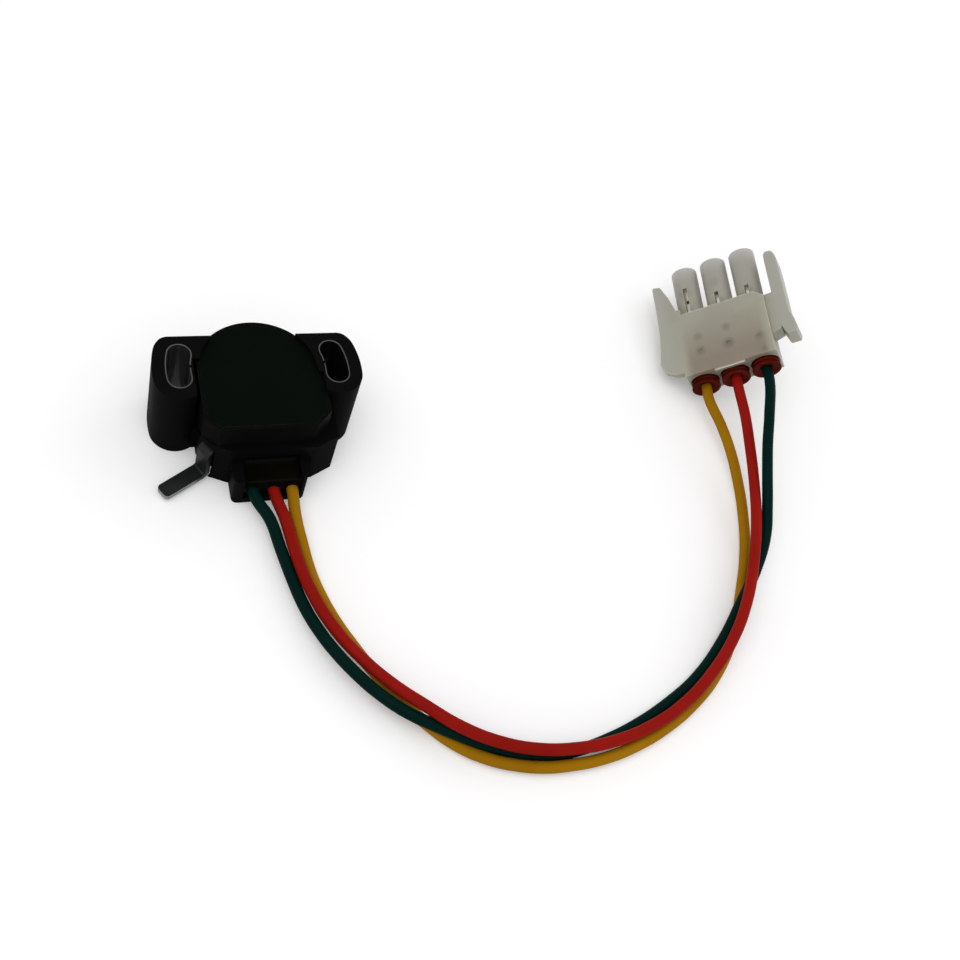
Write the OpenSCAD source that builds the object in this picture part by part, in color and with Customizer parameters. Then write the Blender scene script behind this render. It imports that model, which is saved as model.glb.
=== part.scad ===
// Lever-type rotary potentiometer: a moulded sensor body with two slotted mounting ears,
// a formed steel lever on a sprung rotor, three flying leads and a three-way in-line plug.
// Frame: +Z is the rotor axis, z = 0 is the mounting face, +Y points away from the lead outlet.

/* [Body] */
// Radius of the rounded back of the body
body_r = 10.9; // [10.6:0.1:11.6]
// Height of the body from the mounting face to the cover
body_h = 15; // [14.8:0.1:16]
// Distance from the axis to the flat left side
left_x = 10.5; // [10.3:0.1:10.7]
// Distance from the axis to the right side
right_x = 11.5; // [11.2:0.1:12.2]
// Distance from the axis to the front of the upper body
front_y = 11.8; // [11.6:0.1:12.4]
// Corner bevel at the front left of the upper body
bevel_left = 2.4; // [1.6:0.1:2.8]
// Corner bevel at the front right of the upper body
bevel_right = 3; // [2:0.1:4]
// Radius of the round chamber inside the body
chamber_r = 9.2; // [9:0.1:9.4]

/* [Skirt] */
// Height of the lower block at the front of the body
skirt_h = 10; // [9.8:0.1:11]
// Distance from the axis to the front face of the lower block
skirt_front = 12.9; // [12.6:0.1:13.6]
// Distance from the axis to the right side of the lower block
skirt_right = 13.2; // [12.6:0.1:13.8]

/* [Mounting ears] */
// Distance between the centre lines of the two curved slots
slot_pitch = 27.5; // [27:0.1:29]
// Angle by which the slots' middles lie behind the axis
slot_lead = 4.8; // [3:0.1:6]
// Half the angle that a slot spans, between its end centres
slot_half = 10.6; // [8:0.1:12]
// Width of a slot in the moulding, which is the sleeve's outer width
slot_w = 4.4; // [4.2:0.1:4.6]
// Wall of the ear around its slot
ear_wall = 2.2; // [1.8:0.1:2.6]
// Height of the ears
ear_h = 16; // [15.2:0.1:18]
// Straight back edge of the ears, from the axis
ear_back = 7.4; // [7:0.1:7.8]
// Radius of the outer back corner of an ear
shoulder_r = 2.2; // [1.6:0.1:2.4]
// Wall of the rolled steel sleeve
sleeve_t = 0.25; // [0.2:0.05:0.5]
// Open seam of the rolled sleeve
sleeve_seam = 0.25; // [0.15:0.05:0.5]

/* [Lead outlet] */
// Left side of the outlet block, from the axis
outlet_left = 5.6; // [5.2:0.1:6]
// Right side of the outlet block, from the axis
outlet_right = 8.4; // [8:0.1:9]
// How much narrower the outlet block is at its front right corner
outlet_taper = 1.1; // [0:0.1:1.2]
// Front of the outlet block, from the axis
outlet_front = 17.2; // [17:0.1:18]
// Height of the outlet block
outlet_h = 6.5; // [6:0.1:8]
// Wall of the outlet block at each side of the sealing compound
outlet_wall = 1.8; // [1.2:0.1:2.2]
// Thickness of the floor under the sealing compound
outlet_floor = 1.4; // [1:0.1:1.6]
// Height of the leads' centres where they leave the body
lead_z = 3; // [2.7:0.1:3.4]

/* [Lever and rotor] */
// Angle of the lever, counterclockwise from +X
lever_angle = 210.6; // [209:0.1:212]
// Offset of the lever's centre line from the axis
lever_offset = 4; // [3.8:0.1:4.2]
// Width of the lever strip
lever_w = 2.9; // [2.5:0.1:3.1]
// Thickness of the lever strip
lever_t = 0.9; // [0.7:0.1:1]
// Distance from the axis to the lever's upright leg, along the lever
lever_bend = 13.9; // [13.8:0.1:14.2]
// Distance from the axis to the lever's tip, along the lever
lever_reach = 22.6; // [18:0.1:26]
// Height of the lever's outer arm above the mounting face
lever_low = 0.6; // [0.4:0.1:1.5]
// How far the lever turns, in degrees
travel = 14; // [8:1:14]
// Radius of the rotor's lower journal
journal_r = 2.5; // [2.3:0.1:2.7]
// Radius of the rotor's hub
hub_r = 4.2; // [4:0.1:4.4]
// Running clearance of the rotor's journals
run_gap = 0.05; // [0.02:0.01:0.08]

/* [Return spring] */
// Mean radius of the coil
coil_r = 5.2; // [5:0.1:5.4]
// Wire diameter of the coil
coil_wire = 0.6; // [0.4:0.05:0.7]
// Whole turns of the coil
coil_turns = 3; // [2:1:3]

/* [Leads] */
// Outer diameter of a lead
lead_d = 2.1; // [1.8:0.05:2.1]

/* [Plug] */
// Pitch of the plug's circuits
circuit = 6.35; // [6.2:0.05:6.6]
// Width of the plug's main block across the circuits
plug_w = 18.8; // [18.6:0.1:20]
// Thickness of the plug's main block
plug_t = 7.8; // [7.4:0.1:9]
// Length of the plug's main block
plug_len = 14.9; // [14:0.1:16]
// Outer diameter of a silo
silo_d = 5.4; // [5:0.1:5.6]
// How far the silos stick out of the main block
silo_len = 12.4; // [11:0.1:14]
// Bore of a silo
silo_bore = 3.5; // [3.3:0.1:3.7]
// Width of the latch arm
latch_w = 4.6; // [4:0.1:6]
// Thickness of the latch arm
latch_t = 2.6; // [2.2:0.1:2.8]
// Width of the keying fin beside the block
fin_w = 4.6; // [4.2:0.1:4.8]
// Thickness of the keying fin
fin_t = 1.6; // [1.2:0.1:2.4]
// Outer diameter of a lead seal's flange
seal_d = 5.9; // [5.7:0.1:6]

/* [Hidden] */
$fn = 64;
eps = 0.05;

// Colours of the real pieces
black_plastic = [0.06, 0.065, 0.06];
bright_steel = [0.62, 0.62, 0.63];
nylon = [0.86, 0.86, 0.82];
seal_red = [0.42, 0.07, 0.05];
tin = [0.78, 0.78, 0.76];

// Heights inside the body, from the mounting face up
bearing_floor = 1.2;
chamber_floor = 6.5;
floor_t = 1.5;
washer_t = 0.3;
lever_top = chamber_floor + washer_t + lever_t;
cover_t = 1.2;
board_t = 1;
board_gap = 0.2;
board_low = body_h - cover_t - board_gap - board_t;
track_t = 0.15;
disc_t = 0.8;
wiper_room = 1.05;
disc_low = board_low - track_t - wiper_room - disc_t;

// Rotor bearing
bush_wall = 1;
bush_r = journal_r + run_gap + bush_wall;
boss_r = bush_r + 1.9;
washer_r = 4.8;
disc_r = 7.8;
spigot_r = 2;
spigot_len = body_h - 0.7 - disc_low - disc_t;
flat_x = journal_r - 0.45;

// Return spring, from its leg on the chamber wall up to its leg in the hub
spring_low = lever_top + 0.5 + coil_wire / 2;
spring_top = disc_low - 0.25 - coil_wire / 2;
spring_start = 60;
spring_end = spring_start + 360 * coil_turns - 120;

// Board and tracks
board_r = chamber_r + 0.65;
board_hole = 3.5;
track_w = 0.8;
collector_r = 4.3;
resistive_r = 6.2;
track_start = 290;
track_end = 520;
wiper_angle = 20;

// Ears
slot_r = slot_pitch / 2;
ear_in = left_x + 0.65;
web_front_left = 2.6;
web_front_right = -1;

// Lead positions at the outlet, and the sealing compound around them
lead_x = [-2, 1.6, 4.8];
pot_back = skirt_front - 0.8;
pot_front = outlet_front - 0.5;
pot_top = outlet_h - 0.6;
pot_w = outlet_left + outlet_right - 2 * outlet_wall - 0.3;
crimp_y = pot_front - 2.1;

// Terminal strips moulded into the front wall
term_w = 1;
term_t = 0.4;
term_in = 7.6;
term_y = 10.8;

// Lever relief in the front left corner of the body
relief_r = lever_bend - 1.5;
relief_top = lever_top + 1.6;
bend_r = 0.5;

// Plug pose: rolled on its lower left edge and held there by its stiff leads
plug_x = 98.43;
plug_y = -1.4;
plug_heading = -10.95;
plug_tilt = 40.8;
plug_pitch = 4.9;
plug_top = 4.2;
plug_low = plug_top - plug_t;
block_rear = 1.7;
block_front = block_rear + plug_len;
silo_tip = block_front + silo_len;
fin_out = plug_w / 2 + fin_w;
plug_feet = [[-fin_out, 6.2, plug_top - fin_t], [-plug_w / 2, block_rear, plug_low]];
plug_z = -min([for (p = plug_feet) about_y(about_x(p, plug_pitch), -plug_tilt).z]);
silo_window = [6.6, 3.4, 2.6];
seal_depth = 7;
seal_bore = seal_d - 0.3;
contact_rear = seal_depth + 0.3;
latch_gap = 1.65;
latch_mid = 1;

// Routes of the three leads, chosen by hand, from the body to just behind the plug
green_route = [
    [-0.3, -22.5, 2.6], [0.7, -28.1, 2.2], [1.7, -33.7, 2.2], [2.9, -39.1, 2.4],
    [4.6, -44.2, 2.9], [6.9, -48.8, 3.2], [9.6, -53, 3.2], [12.7, -56.9, 3.2],
    [16.2, -60.3, 3.2], [20.2, -63.2, 3.3], [24.8, -65.5, 3.1], [29.8, -67.8, 2.1],
    [35.6, -69.9, 1.3], [40.6, -70.7, 1.1], [45.5, -70.2, 1.1], [51, -68.8, 1.1],
    [56.8, -66.7, 1.1], [63.8, -63.6, 1.1], [71, -59.6, 1.1], [77.6, -54.4, 2.2],
    [84.4, -47.4, 3.3], [90.1, -41.4, 3.6], [93.8, -35.4, 4.9], [95.3, -29.9, 6.9],
    [96.4, -24.4, 9], [97.8, -18.7, 10.8], [100, -12.5, 12.1]
];
red_route = [
    [2.6, -22.7, 3], [3.4, -30.4, 3.1], [4.8, -37.7, 3.4], [7.2, -44.3, 3.5],
    [10.7, -50.1, 3.3], [14.9, -55.3, 3.4], [19.6, -59.9, 3.3], [25.2, -63.2, 3],
    [30.9, -66.2, 3.5], [36.9, -68.9, 3.5], [43.6, -70.6, 3.4], [51, -70.3, 3.3],
    [58.9, -68.7, 3], [66.4, -65.5, 3.1], [73, -61.1, 3.8], [78.9, -55.6, 4.9],
    [84, -48.9, 5.7], [88.3, -41.2, 6], [91.8, -33.1, 6.4], [94.3, -24.7, 7],
    [96.2, -16, 7.8], [97.4, -9.6, 8.3]
];
yellow_route = [
    [4.7, -22, 2.3], [5.1, -27.5, 1.7], [5.7, -32.8, 1.2], [6.7, -37.3, 1.1],
    [8.3, -42.2, 1.1], [10.5, -47.1, 1.1], [13.1, -52.1, 1.1], [16.3, -57.3, 1.1],
    [20, -62.3, 1.1], [24.2, -66.6, 1.1], [28.8, -69.7, 1.1], [33.6, -71.6, 1.1],
    [38.5, -72.8, 1.1], [43.8, -73.3, 1.1], [49.4, -73, 1.1], [55.3, -71.9, 1.1],
    [61.9, -69.7, 1.1], [69, -66, 1.1], [75.7, -60.6, 1.1], [81.6, -53.2, 1.1],
    [86.7, -44.5, 1.1], [90.5, -36.4, 1.4], [92.7, -28.2, 2.2], [93.7, -21.8, 2.9],
    [94.2, -15.3, 3.6], [94.1, -9.2, 4]
];

// Rotation by an angle about Z, Y and X, for points that must follow the plug
function about_z(p, a) = [p.x * cos(a) - p.y * sin(a), p.x * sin(a) + p.y * cos(a), p.z];
function about_y(p, a) = [p.x * cos(a) + p.z * sin(a), p.y, -p.x * sin(a) + p.z * cos(a)];
function about_x(p, a) = [p.x, p.y * cos(a) - p.z * sin(a), p.y * sin(a) + p.z * cos(a)];
function on_plug(p) = [plug_x, plug_y, plug_z] +
    about_z(about_y(about_x(p, plug_pitch), -plug_tilt), plug_heading);

function polar(r, a) = [r * cos(a), r * sin(a)];
function unit(v) = v / norm(v);

// A round tube along a list of points, as one closed polyhedron
module tube(points, r, sides = 8) {
    last = len(points) - 1;
    rings = [for (i = [0:last])
        let (
            along = unit(points[min(i + 1, last)] - points[max(i - 1, 0)]),
            side = unit(cross(along, [0, 0, 1])),
            up = cross(side, along)
        )
        for (k = [0:sides - 1]) points[i] + r * (cos(360 * k / sides) * side + sin(360 * k / sides) * up)
    ];
    skin = [for (i = [0:last - 1], k = [0:sides - 1])
        let (a = i * sides + k, b = i * sides + (k + 1) % sides)
        [a, b, b + sides, a + sides]
    ];
    triangles = [for (q = skin) each [[q[0], q[1], q[2]], [q[0], q[2], q[3]]]];
    near_end = [for (k = [1:sides - 2]) [0, k + 1, k]];
    far_end = [for (k = [1:sides - 2]) [last * sides, last * sides + k, last * sides + k + 1]];
    polyhedron(points = rings, faces = concat(triangles, near_end, far_end));
}

// Curved slot outline of a given width, on the right ear
module kidney(w) {
    for (end = [-1, 1])
        translate(polar(slot_r, slot_lead + end * slot_half))
            circle(d = w);
    intersection() {
        difference() {
            circle(r = slot_r + w / 2);
            circle(r = slot_r - w / 2);
        }
        polygon([
            [0, 0],
            polar(2 * slot_r, slot_lead - slot_half),
            polar(2 * slot_r, slot_lead),
            polar(2 * slot_r, slot_lead + slot_half)
        ]);
    }
}

// Outline of the upper body and its cover, drawn in by an inset
module upper_outline(inset = 0) {
    bl = bevel_left - 0.586 * inset;
    br = bevel_right - 0.586 * inset;
    lx = left_x - inset;
    rx = right_x - inset;
    fy = front_y - inset;
    intersection() {
        union() {
            circle(r = body_r - inset);
            polygon([
                [-lx, 0], [-lx, -fy + bl], [-lx + bl, -fy], [rx - br, -fy],
                [rx, -fy + br], [rx, -2], [body_r - inset, 0]
            ]);
        }
        translate([-lx, -20])
            square([40, 40]);
    }
}

module skirt_outline() {
    polygon([
        [-left_x, 0], [-left_x, -skirt_front + 3.4], [-left_x + 1.5, -skirt_front + 1.5],
        [-left_x + 4.7, -skirt_front], [skirt_right - 4, -skirt_front], [skirt_right, -skirt_front + 2],
        [skirt_right, -2], [right_x, 0]
    ]);
}

// Ear around the slot, with the web that joins it to the body
module ear_outline(web_front) {
    end = polar(slot_r, slot_lead + slot_half);
    reach = slot_w / 2 + ear_wall - shoulder_r;
    rise = ear_back - shoulder_r - end.y;
    corner = [end.x + sqrt(max(0, reach * reach - rise * rise)), ear_back - shoulder_r];
    difference() {
        union() {
            kidney(slot_w + 2 * ear_wall);
            translate([left_x - 3, web_front])
                square([slot_r - left_x + 3, ear_back - web_front]);
        }
        translate([left_x - 6, -20])
            square([ear_in - left_x + 6, 20 + web_front]);
        translate([0, ear_back])
            square([30, 10]);
        difference() {
            polygon([corner, corner + [0, 7], corner + [7, 7], corner + 9 * unit(corner - end)]);
            translate(corner)
                circle(r = shoulder_r);
        }
    }
}

module outlet_outline() {
    r = 1;
    corner = outlet_right - outlet_taper;
    back = outlet_front - front_y + 1;
    translate([0, -outlet_front]) {
        polygon([
            [-outlet_left, r], [r - outlet_left, 0], [corner - r, 0], [corner, r],
            [outlet_right, outlet_front - skirt_front], [outlet_right, back], [-outlet_left, back]
        ]);
        for (x = [r - outlet_left, corner - r])
            translate([x, r])
                circle(r = r);
    }
}

// Space swept by the lever's inner arm, and the corner relief for its upright leg
module lever_sweep(gap, reach) {
    y_low = lever_offset - lever_w / 2 - gap;
    y_high = lever_offset + lever_w / 2 + gap;
    function swung(p, a) = [
        p[0] * cos(lever_angle + a) - p[1] * sin(lever_angle + a),
        p[0] * sin(lever_angle + a) + p[1] * cos(lever_angle + a)
    ];
    polygon([
        swung([0, y_high], 0), swung([reach, y_high], 0), swung([reach, y_high], -travel / 2),
        swung([reach, y_low], -travel / 2), swung([reach, y_low], -travel), swung([0, y_low], -travel)
    ]);
}

module lever_relief() {
    start = lever_angle - travel + 8.5;
    end = lever_angle + 23.4;
    difference() {
        polygon([[0, 0], polar(30, start), polar(30, (start + end) / 2), polar(30, end)]);
        circle(r = relief_r);
    }
}

// Strip terminal from under the board, down the front wall to its lead
module terminal_strip(x) {
    translate([x - term_w / 2, 0, 0]) {
        translate([0, -term_y, board_low - term_t])
            cube([term_w, term_y - term_in, term_t]);
        translate([0, -term_y, lead_z - term_t / 2])
            cube([term_w, term_t, board_low - lead_z + term_t / 2]);
        translate([0, -crimp_y, lead_z - term_t / 2])
            cube([term_w, crimp_y - term_y + term_t, term_t]);
    }
}

// Hollow underside: pockets between the bearing boss and the wall, with ribs
module underside_pockets() {
    rib_t = 1.2;
    rib_count = 8;
    difference() {
        circle(r = chamber_r);
        circle(r = boss_r);
        for (i = [0:rib_count - 1])
            rotate(i * 360 / rib_count + 22.5)
                translate([0, -rib_t / 2])
                    square([chamber_r + 1, rib_t]);
    }
}

module housing() {
    color(black_plastic)
    difference() {
        union() {
            linear_extrude(body_h)
                upper_outline();
            linear_extrude(skirt_h)
                skirt_outline();
            linear_extrude(outlet_h)
                outlet_outline();
            linear_extrude(ear_h)
                ear_outline(web_front_right);
            linear_extrude(ear_h)
                mirror([1, 0])
                    ear_outline(web_front_left);
        }
        for (side = [0, 1])
            mirror([side, 0, 0])
                translate([0, 0, -1])
                    linear_extrude(ear_h + 2)
                        kidney(slot_w);
        translate([0, 0, chamber_floor])
            cylinder(r = chamber_r, h = body_h);
        translate([0, 0, board_low])
            cylinder(r = board_r, h = body_h);
        translate([0, 0, body_h - cover_t])
            linear_extrude(cover_t + 1)
                upper_outline(0.6);
        translate([0, 0, bearing_floor])
            cylinder(r = bush_r, h = body_h);
        translate([0, 0, -1])
            linear_extrude(chamber_floor - floor_t + 1)
                underside_pockets();
        translate([0, 0, -1])
            linear_extrude(relief_top + 1)
                lever_relief();
        translate([0, 0, chamber_floor])
            linear_extrude(lever_top - chamber_floor + 0.3)
                difference() {
                    lever_sweep(0.3, 24);
                    circle(r = chamber_r - 1);
                }
        translate([outlet_wall - outlet_left, -outlet_front - 1, outlet_floor])
            cube([pot_w, outlet_front + 1 - pot_back, outlet_h]);
        for (x = lead_x)
            terminal_strip(x);
    }
}

module cover() {
    color([0.075, 0.08, 0.07])
    difference() {
        union() {
            translate([0, 0, body_h - cover_t])
                linear_extrude(cover_t)
                    upper_outline(0.6);
            translate([0, 0, board_low + 0.3])
                cylinder(r = board_hole - 0.3, h = body_h - cover_t - board_low);
            translate([0, 0, board_low + board_t])
                difference() {
                    cylinder(r = board_r - 0.4, h = board_gap + eps);
                    translate([0, 0, -1])
                        cylinder(r = board_r - 1.6, h = 3);
                }
        }
        translate([0, 0, board_low])
            cylinder(r = spigot_r + run_gap, h = body_h - 0.6 - board_low);
    }
}

// Kidney-shaped sleeve rolled from thin steel, with its open seam facing the body
module sleeve() {
    linear_extrude(ear_h)
        difference() {
            kidney(slot_w);
            kidney(slot_w - 2 * sleeve_t);
            rotate(slot_lead)
                translate([slot_r - slot_w, -sleeve_seam / 2])
                    square([slot_w * 0.75, sleeve_seam]);
        }
}

module sleeve_left() {
    color(bright_steel)
        mirror([1, 0, 0])
            sleeve();
}

module sleeve_right() {
    color(bright_steel)
        sleeve();
}

module element_board() {
    color([0.18, 0.32, 0.2])
    translate([0, 0, board_low])
        difference() {
            cylinder(r = board_r, h = board_t);
            translate([0, 0, -1])
                cylinder(r = board_hole, h = board_t + 2);
        }
}

module track(inner, from, to) {
    translate([0, 0, board_low - track_t])
        rotate([0, 0, from])
            rotate_extrude(angle = to - from)
                translate([inner, 0])
                    square([track_w, track_t]);
}

module resistive_track() {
    color([0.12, 0.12, 0.13])
        track(resistive_r, track_start, track_end);
}

module collector_track() {
    color([0.75, 0.72, 0.62])
        track(collector_r, track_start, track_end);
}

module terminal_green() { color(tin) terminal_strip(lead_x[0]); }
module terminal_red() { color(tin) terminal_strip(lead_x[1]); }
module terminal_yellow() { color(tin) terminal_strip(lead_x[2]); }

// Sealing compound that fills the outlet around the leads
module potting() {
    color([0.03, 0.03, 0.035])
    difference() {
        translate([outlet_wall - outlet_left, -pot_front, outlet_floor])
            cube([pot_w, pot_front - pot_back, pot_top - outlet_floor]);
        for (x = lead_x) {
            terminal_strip(x);
            translate([x, -crimp_y, lead_z])
                rotate([90, 0, 0])
                    cylinder(r = lead_d / 2 + 0.03, h = outlet_front);
        }
    }
}

module bearing_bush() {
    color([0.62, 0.45, 0.2])
    translate([0, 0, bearing_floor])
        difference() {
            cylinder(r = bush_r, h = chamber_floor - bearing_floor);
            translate([0, 0, -1])
                cylinder(r = journal_r + run_gap, h = chamber_floor + 2);
        }
}

module thrust_washer() {
    color([0.8, 0.8, 0.75])
    translate([0, 0, chamber_floor])
        difference() {
            cylinder(r = washer_r, h = washer_t);
            translate([0, 0, -1])
                cylinder(r = journal_r + run_gap, h = washer_t + 2);
        }
}

// Moulded rotor: journal, flatted lever seat, hub, wiper disc and top spigot
module rotor() {
    color([0.82, 0.8, 0.72])
    difference() {
        union() {
            translate([0, 0, bearing_floor + 0.3])
                cylinder(r = journal_r, h = chamber_floor + washer_t - bearing_floor - 0.3);
            translate([0, 0, chamber_floor + washer_t])
                intersection() {
                    cylinder(r = journal_r, h = lever_t);
                    translate([-flat_x, -journal_r, 0])
                        cube([2 * flat_x, 2 * journal_r, lever_t]);
                }
            translate([0, 0, lever_top])
                cylinder(r = hub_r, h = disc_low - lever_top);
            translate([0, 0, disc_low])
                cylinder(r = disc_r, h = disc_t);
            translate([0, 0, disc_low + disc_t])
                cylinder(r = spigot_r, h = spigot_len);
        }
        spring_hole();
    }
}

// Hole in the hub for the spring's inner leg
module spring_hole() {
    translate([0, 0, spring_top])
        rotate([0, 0, spring_end])
            translate([hub_r - 1.2, 0, 0])
                rotate([0, 90, 0])
                    cylinder(d = coil_wire + 0.1, h = 3, $fn = 24);
}

// Torsion coil round the hub: its outer leg bears on the chamber wall, its inner leg sits in the hub
module return_spring() {
    steps = 20 * coil_turns;
    coil = [for (i = [0:steps])
        let (a = spring_start + (spring_end - spring_start) * i / steps)
        [coil_r * cos(a), coil_r * sin(a), spring_low + (spring_top - spring_low) * i / steps]
    ];
    low_leg = polar(chamber_r - 0.3, spring_start - 40);
    high_leg = polar(hub_r - 0.9, spring_end);
    color([0.7, 0.7, 0.72])
        tube(concat(
            [[low_leg.x, low_leg.y, spring_low]], coil, [[high_leg.x, high_leg.y, spring_top]]
        ), coil_wire / 2);
}

// Lever: inner plate on the rotor's flats, a leg down the body's corner and the outer arm
module lever() {
    half = lever_w / 2;
    tip_r = 0.8;
    color(bright_steel)
    rotate([0, 0, lever_angle]) {
        difference() {
            translate([0, 0, lever_top - lever_t])
                linear_extrude(lever_t)
                    union() {
                        circle(r = washer_r);
                        translate([0, lever_offset - half])
                            square([lever_bend - lever_t, lever_w]);
                    }
            rotate([0, 0, -lever_angle])
                intersection() {
                    cylinder(r = journal_r + 0.02, h = body_h);
                    translate([-flat_x - 0.02, -5, 0])
                        cube([2 * flat_x + 0.04, 10, body_h]);
                }
        }
        translate([0, lever_offset + half, 0])
            rotate([90, 0, 0])
                linear_extrude(lever_w)
                    lever_side();
        translate([lever_bend + bend_r, lever_offset - half, lever_low])
            cube([lever_reach - lever_bend - bend_r - tip_r, lever_w, lever_t]);
        translate([0, lever_offset, lever_low])
            linear_extrude(lever_t)
                lever_tip(half, tip_r);
    }
}

// Side view of the lever's upright leg with its two rounded bends
module lever_side() {
    x0 = lever_bend - lever_t / 2;
    x1 = lever_bend + lever_t / 2;
    top = lever_top;
    translate([x0, lever_low + lever_t + bend_r])
        square([lever_t, top - lever_t - bend_r - lever_low - lever_t - bend_r]);
    // lower bend, toward the tip
    translate([x0 + lever_t + bend_r, lever_low + lever_t + bend_r])
        intersection() {
            difference() {
                circle(r = lever_t + bend_r);
                circle(r = bend_r);
            }
            translate([-5, -5])
                square([5, 5]);
        }
    // upper bend, toward the rotor
    translate([x0 - bend_r, top - lever_t - bend_r])
        intersection() {
            difference() {
                circle(r = lever_t + bend_r);
                circle(r = bend_r);
            }
            square([5, 5]);
        }
    translate([x0 - bend_r - 1, top - lever_t])
        square([1, lever_t]);
    translate([x1 + bend_r, lever_low])
        square([1, lever_t]);
}

module lever_tip(half, r) {
    translate([lever_reach - r - eps, -half + r])
        square([r + eps, 2 * half - 2 * r]);
    for (side = [-1, 1])
        translate([lever_reach - r, side * (half - r)])
            circle(r = r);
}

// Sprung wiper: a base on the rotor's disc and one finger for each track
module wiper_contact() {
    plate_t = 0.2;
    base_z = disc_low + disc_t;
    tip_z = board_low - track_t - 0.03;
    color([0.85, 0.65, 0.3])
    rotate([0, 0, wiper_angle]) {
        translate([2.4, -3.2, base_z])
            cube([4.8, 1.6, plate_t]);
        for (r = [collector_r, resistive_r])
            translate([r, 0, 0])
                rotate([90, 0, 90])
                    linear_extrude(track_w)
                        polygon([
                            [-1.7, base_z], [2.4, tip_z - plate_t - 0.05], [2.9, tip_z - plate_t - 0.15],
                            [2.9, tip_z - 0.15], [2.4, tip_z], [-1.7, base_z + plate_t]
                        ]);
    }
}

// A lead runs straight out of the compound, along its route and straight into its seal
module lead(x, route, row) {
    start = [[x, -crimp_y, lead_z], [x, -outlet_front - 0.3, lead_z]];
    end = [for (y = [-2.5, 0, seal_depth]) on_plug([row * circuit, y, 0])];
    tube(concat(start, route, end), lead_d / 2);
}

module lead_green() { color([0.02, 0.22, 0.22]) lead(lead_x[0], green_route, 1); }
module lead_red() { color([0.75, 0.08, 0.08]) lead(lead_x[1], red_route, 0); }
module lead_yellow() { color([0.8, 0.58, 0.06]) lead(lead_x[2], yellow_route, -1); }

module plug_place() {
    translate([plug_x, plug_y, plug_z])
        rotate([0, 0, plug_heading])
            rotate([0, -plug_tilt, 0])
                rotate([plug_pitch, 0, 0])
                    children();
}

// Cylinder along the plug's mating axis
module along_plug(x, from, to, r) {
    translate([x, from, 0])
        rotate([-90, 0, 0])
            cylinder(r = r, h = to - from);
}

// Rocker latch on the right side: a web and the arm with its flared thumb end
module latch() {
    inner = plug_w / 2 + latch_gap;
    outer = inner + latch_t;
    tip = silo_tip - 3.3;
    translate([0, 0, latch_mid - latch_w / 2])
        linear_extrude(latch_w)
            polygon([
                [inner, 8.6], [inner + 1, 5.6], [inner + 1.3, 5.1], [outer + 0.6, 5.1],
                [outer + 0.9, 6], [outer + 0.6, 8], [outer, 10.4], [outer, 20],
                [outer - 0.1, tip - 2], [outer - 0.5, tip - 0.5], [outer - 1.1, tip],
                [inner + 0.5, tip], [inner + 0.1, tip - 0.6], [inner, tip - 2.4]
            ]);
    translate([0, 0, latch_mid - latch_w / 2 + 0.8])
        linear_extrude(latch_w - 0.8)
            polygon([
                [plug_w / 2 - 0.5, 6], [inner + 0.4, 6.8], [inner + 0.4, 15.6],
                [plug_w / 2 - 0.5, block_front - 1.1]
            ]);
}

// Keying fin on the left side, level with the block's upper face, widest near its rear
module fin() {
    root = -plug_w / 2;
    translate([0, 0, plug_top - fin_t])
        linear_extrude(fin_t)
            polygon([
                [root + 0.5, 2.6], [root - 1, 2.7], [2.5 - fin_out, 3], [0.8 - fin_out, 4.1],
                [0.2 - fin_out, 5.2], [-fin_out, 6.2], [0.5 - fin_out, 9.5], [0.9 - fin_out, 13.5],
                [1.05 - fin_out, 18], [1.1 - fin_out, silo_tip - 4], [1.5 - fin_out, silo_tip - 3.7],
                [2.8 - fin_out, silo_tip - 4.1], [root - 0.5, 21.8], [root + 0.2, 19.4],
                [root + 0.4, 18.1], [root + 1.4, 17.8], [root + 1.4, block_front - 0.5],
                [root + 0.5, block_front - 0.5]
            ]);
}

module plug_housing() {
    half = plug_w / 2;
    color(nylon)
    plug_place()
    difference() {
        union() {
            translate([0, 0, plug_low])
                linear_extrude(plug_t)
                    polygon([
                        [-half, block_rear], [half, block_rear], [half, block_front - 1.6],
                        [half - 1.8, block_front], [-half, block_front]
                    ]);
            translate([-3.3, block_rear - 0.6, plug_top - 0.8])
                cube([6.3, 1.4, 0.8]);
            for (row = [-1:1])
                along_plug(row * circuit, block_front - 1, silo_tip, silo_d / 2);
            latch();
            fin();
        }
        for (row = [-1:1]) {
            along_plug(row * circuit, 0, seal_depth, seal_bore / 2);
            along_plug(row * circuit, 1, silo_tip + 1, silo_bore / 2);
            // window for the contact's locking tang, in the silo's upper side
            translate([row * circuit - 0.45, block_front + 0.6, 0])
                cube([0.9, silo_window[row + 1], silo_d]);
        }
    }
}

// Ribbed rubber seal: a flange and a lip outside the plug, two lips inside
module lead_seal(row) {
    rib = seal_d / 2;
    lip = seal_bore / 2;
    core = lip - 0.4;
    hole = lead_d / 2 + 0.02;
    color(seal_red)
    plug_place()
        translate([row * circuit, 0, 0])
            rotate([-90, 0, 0])
                rotate_extrude()
                    polygon([
                        [hole, 0], [rib, 0], [rib, 0.6], [core, 0.7], [core, 1],
                        [lip, 1.1], [lip, 1.6], [core, 1.7], [core, 2.3],
                        [lip, 2.5], [lip, 3.1], [core, 3.3], [core, 3.9],
                        [lip, 4.1], [lip, 4.7], [core, 4.9], [core, 6.4], [hole, 6.4]
                    ]);
}

module seal_left() { lead_seal(-1); }
module seal_middle() { lead_seal(0); }
module seal_right() { lead_seal(1); }

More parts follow.
